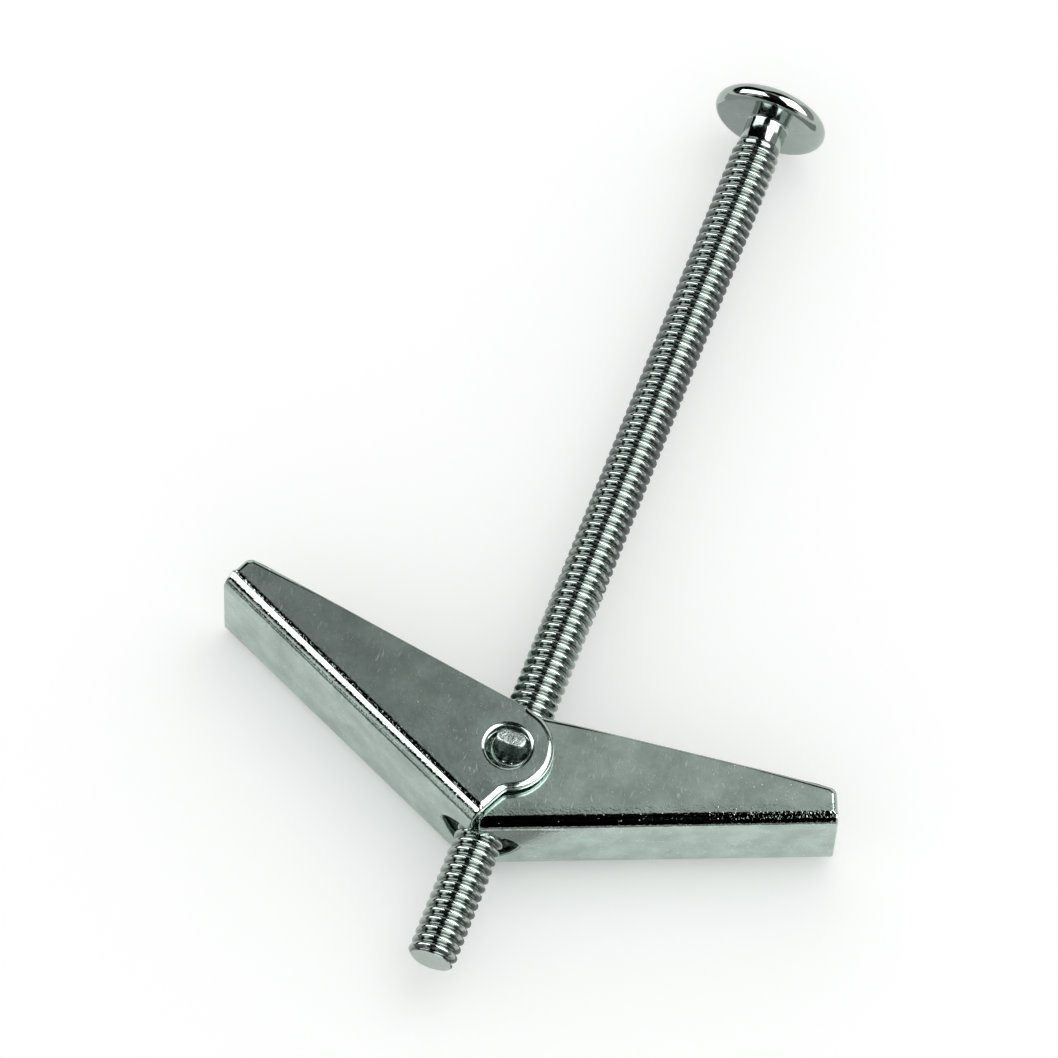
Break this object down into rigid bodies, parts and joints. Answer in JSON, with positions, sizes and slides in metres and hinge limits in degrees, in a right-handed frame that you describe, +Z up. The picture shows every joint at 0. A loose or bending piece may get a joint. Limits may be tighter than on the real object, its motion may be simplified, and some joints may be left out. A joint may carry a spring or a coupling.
{
  "type": "spring toggle bolt",
  "caption": "Long machine screw with a slotted mushroom head and a flat trunnion nut that carries two folded sheet wings, held open by a wire torsion spring, for fixing to a hollow wall.",
  "frame": {"origin": "under the middle of the screw, on the surface that the bolt lies on", "axes": "+Y along the screw from its tip to its head, +X towards the inner wing, +Z up along the wings' pivot"},
  "size_m": [0.0846, 0.1306, 0.0172],
  "materials": {
    "screw_plating": "bright zinc plate on rolled thread and headed blank",
    "nut_plating": "zinc plate, sheared ends left rough",
    "inner_wing_plating": "semi-bright zinc plate with rubbed specks and fine scratches",
    "outer_wing_plating": "semi-bright zinc plate with rubbed specks and fine scratches",
    "spring_wire": "drawn steel wire"
  },
  "bodies": {
    "screw": {"screw": "screw_plating"},
    "nut": {"trunnion_nut": "nut_plating", "spring": "spring_wire"},
    "inner_wing": {"inner_wing": "inner_wing_plating"},
    "outer_wing": {"outer_wing": "outer_wing_plating"}
  },
  "joints": [
    {"name": "nut_travel", "type": "slide", "parent": "screw", "child": "nut", "axis": [0, 1, 0], "range_m": [-0.027, 0.0553]},
    {"name": "inner_wing_fold", "type": "hinge", "parent": "nut", "child": "inner_wing", "pos_m": [0, -0.03773, 0.0086], "axis": [0, 0, 1], "range_deg": [0, 75], "stiffness_Nm_per_rad": 0.05, "springref_deg": -28.65, "deforming": ["spring"]},
    {"name": "outer_wing_fold", "type": "hinge", "parent": "nut", "child": "outer_wing", "pos_m": [0, -0.03773, 0.0086], "axis": [0, 0, -1], "range_deg": [0, 71.7], "stiffness_Nm_per_rad": 0.05, "springref_deg": -28.65, "deforming": ["spring"]}
  ]
}
